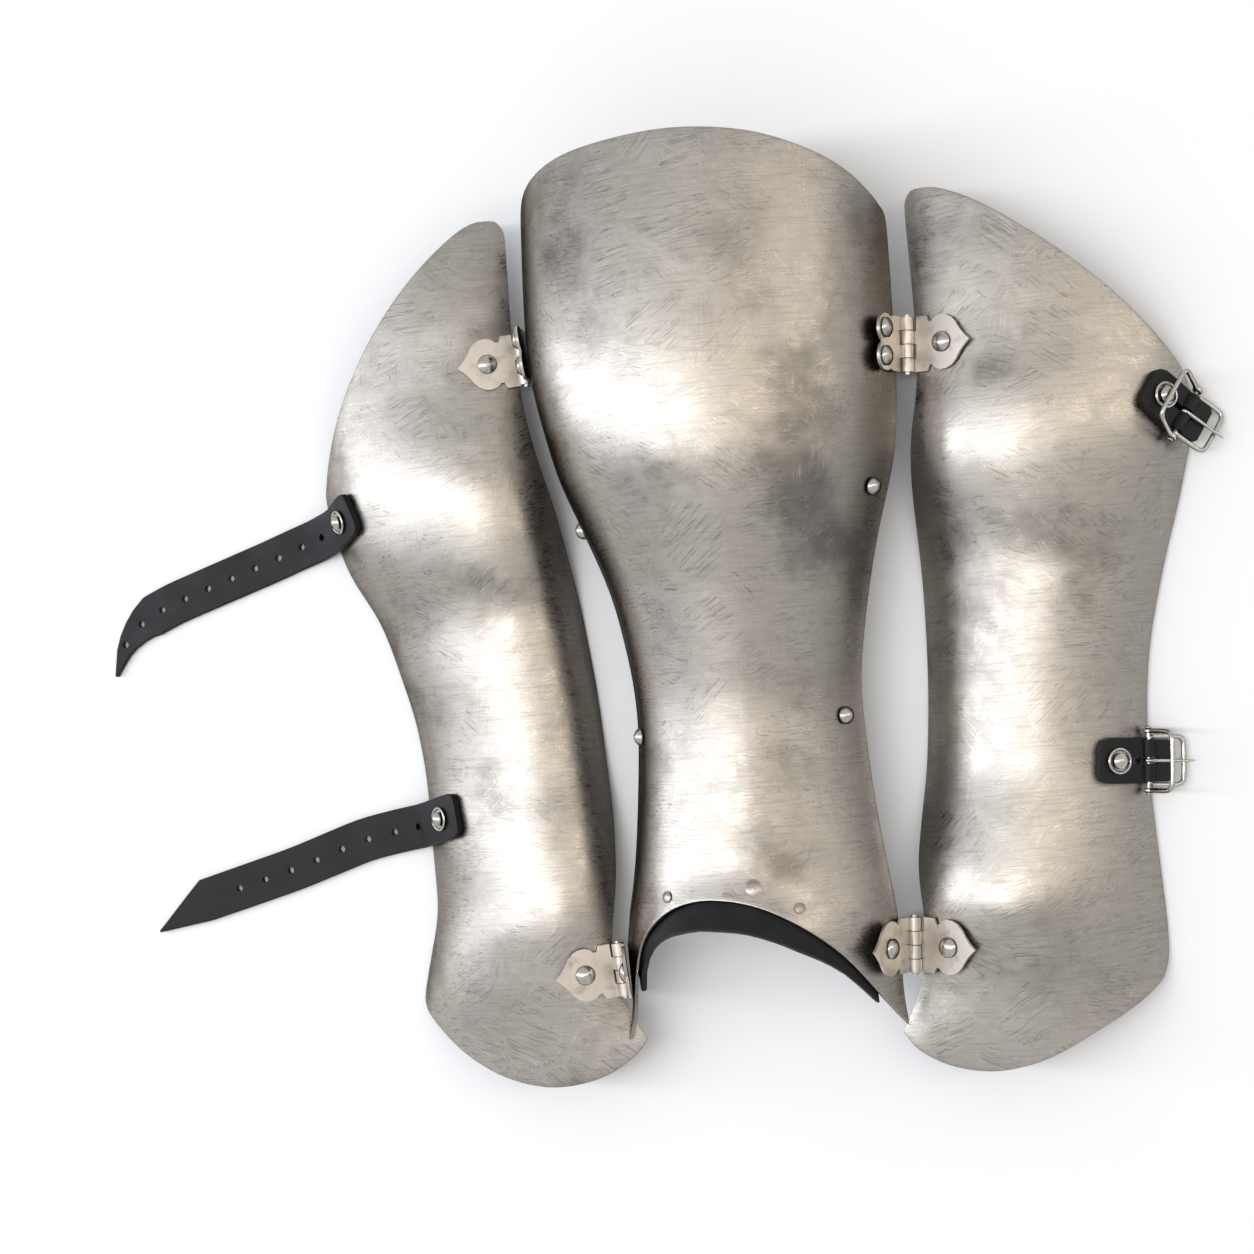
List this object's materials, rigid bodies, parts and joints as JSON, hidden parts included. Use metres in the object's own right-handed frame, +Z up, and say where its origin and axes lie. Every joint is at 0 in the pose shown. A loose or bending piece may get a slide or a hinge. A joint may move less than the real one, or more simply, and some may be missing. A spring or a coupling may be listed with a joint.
{
  "type": "leg armour greave",
  "caption": "Hinged steel greave lying open: a shin plate with an arched foot edge and a calf plate on each side, with leather straps and wire buckles",
  "frame": {"origin": "middle of the bounding box, on the floor that the open greave lies on", "axes": "+X across the shin from the strap side to the buckle side, +Y along the shin to the knee, +Z up"},
  "size_m": [0.4906, 0.376, 0.0776],
  "materials": {
    "plate_steel": "satin, hand-brushed, with fine scratches and cloudy darker patches",
    "hinge_nickel": "warm satin",
    "buckle_nickel": "polished wire",
    "rivet_steel": "polished",
    "leather": "satin black"
  },
  "bodies": {
    "front": {"front_plate": "plate_steel", "arch_liner": "leather", "arch_rivet_1": "plate_steel", "arch_rivet_2": "plate_steel", "arch_rivet_3": "plate_steel", "strap_side_rivet_1": "rivet_steel", "strap_side_rivet_2": "rivet_steel", "buckle_side_rivet_1": "rivet_steel", "buckle_side_rivet_2": "rivet_steel", "strap_knee_hinge_front_leaf": "hinge_nickel", "strap_knee_hinge_front_rivet_1": "rivet_steel", "strap_knee_hinge_front_rivet_2": "rivet_steel", "strap_knee_hinge_pin": "hinge_nickel", "strap_ankle_hinge_front_leaf": "hinge_nickel", "strap_ankle_hinge_front_rivet": "rivet_steel", "strap_ankle_hinge_pin": "hinge_nickel", "buckle_knee_hinge_front_leaf": "hinge_nickel", "buckle_knee_hinge_front_rivet_1": "rivet_steel", "buckle_knee_hinge_front_rivet_2": "rivet_steel", "buckle_knee_hinge_pin": "hinge_nickel", "buckle_ankle_hinge_front_leaf": "hinge_nickel", "buckle_ankle_hinge_front_rivet": "rivet_steel", "buckle_ankle_hinge_pin": "hinge_nickel"},
    "strap_side": {"strap_wing": "plate_steel", "strap_knee_hinge_wing_leaf": "hinge_nickel", "strap_knee_hinge_wing_rivet": "rivet_steel", "strap_ankle_hinge_wing_leaf": "hinge_nickel", "strap_ankle_hinge_wing_rivet": "rivet_steel", "knee_strap": "leather", "knee_strap_washer": "rivet_steel", "knee_strap_rivet": "rivet_steel", "ankle_strap": "leather", "ankle_strap_washer": "rivet_steel", "ankle_strap_rivet": "rivet_steel"},
    "buckle_side": {"buckle_wing": "plate_steel", "buckle_knee_hinge_wing_leaf": "hinge_nickel", "buckle_knee_hinge_wing_rivet": "rivet_steel", "buckle_ankle_hinge_wing_leaf": "hinge_nickel", "buckle_ankle_hinge_wing_rivet": "rivet_steel", "knee_buckle_tab": "leather", "knee_buckle_tab_washer": "rivet_steel", "knee_buckle_tab_rivet": "rivet_steel", "ankle_buckle_tab": "leather", "ankle_buckle_tab_washer": "rivet_steel", "ankle_buckle_tab_rivet": "rivet_steel"},
    "knee_buckle": {"knee_buckle_frame": "buckle_nickel"},
    "knee_tongue": {"knee_buckle_tongue": "buckle_nickel"},
    "knee_loop": {"knee_buckle_loop": "buckle_nickel"},
    "ankle_buckle": {"ankle_buckle_frame": "buckle_nickel"},
    "ankle_tongue": {"ankle_buckle_tongue": "buckle_nickel"},
    "ankle_loop": {"ankle_buckle_loop": "buckle_nickel"}
  },
  "joints": [
    {"name": "strap_side_hinge", "type": "hinge", "parent": "front", "child": "strap_side", "pos_m": [-0.01317, -0.1405, 0.02201], "axis": [-0.074, 0.9973, 0], "range_deg": [-103, 40]},
    {"name": "buckle_side_hinge", "type": "hinge", "parent": "front", "child": "buckle_side", "pos_m": [0.10883, -0.1365, 0.02201], "axis": [0.0799, 0.9968, 0], "range_deg": [-40, 89]},
    {"name": "knee_buckle_swing", "type": "hinge", "parent": "buckle_side", "child": "knee_buckle", "pos_m": [0.23087, 0.06175, 0.0095], "axis": [0.4855, 0.7646, -0.4238], "range_deg": [-75, 0]},
    {"name": "knee_tongue_swing", "type": "hinge", "parent": "knee_buckle", "child": "knee_tongue", "pos_m": [0.23087, 0.06175, 0.0095], "axis": [0.4855, 0.7646, -0.4238], "range_deg": [-45, 0]},
    {"name": "ankle_buckle_swing", "type": "hinge", "parent": "buckle_side", "child": "ankle_buckle", "pos_m": [0.20465, -0.07162, 0.00632], "axis": [0.0814, 0.9958, -0.0409], "range_deg": [-45, 0]},
    {"name": "ankle_tongue_swing", "type": "hinge", "parent": "ankle_buckle", "child": "ankle_tongue", "pos_m": [0.20465, -0.07162, 0.00632], "axis": [0.0814, 0.9958, -0.0409], "range_deg": [-50, 0]},
    {"name": "knee_loop_swing", "type": "hinge", "parent": "buckle_side", "child": "knee_loop", "pos_m": [0.23087, 0.06175, 0.0095], "axis": [0.4855, 0.7646, -0.4238], "range_deg": [0, 70]},
    {"name": "ankle_loop_swing", "type": "hinge", "parent": "buckle_side", "child": "ankle_loop", "pos_m": [0.20465, -0.07162, 0.00632], "axis": [0.0814, 0.9958, -0.0409], "range_deg": [-65, 40]}
  ]
}
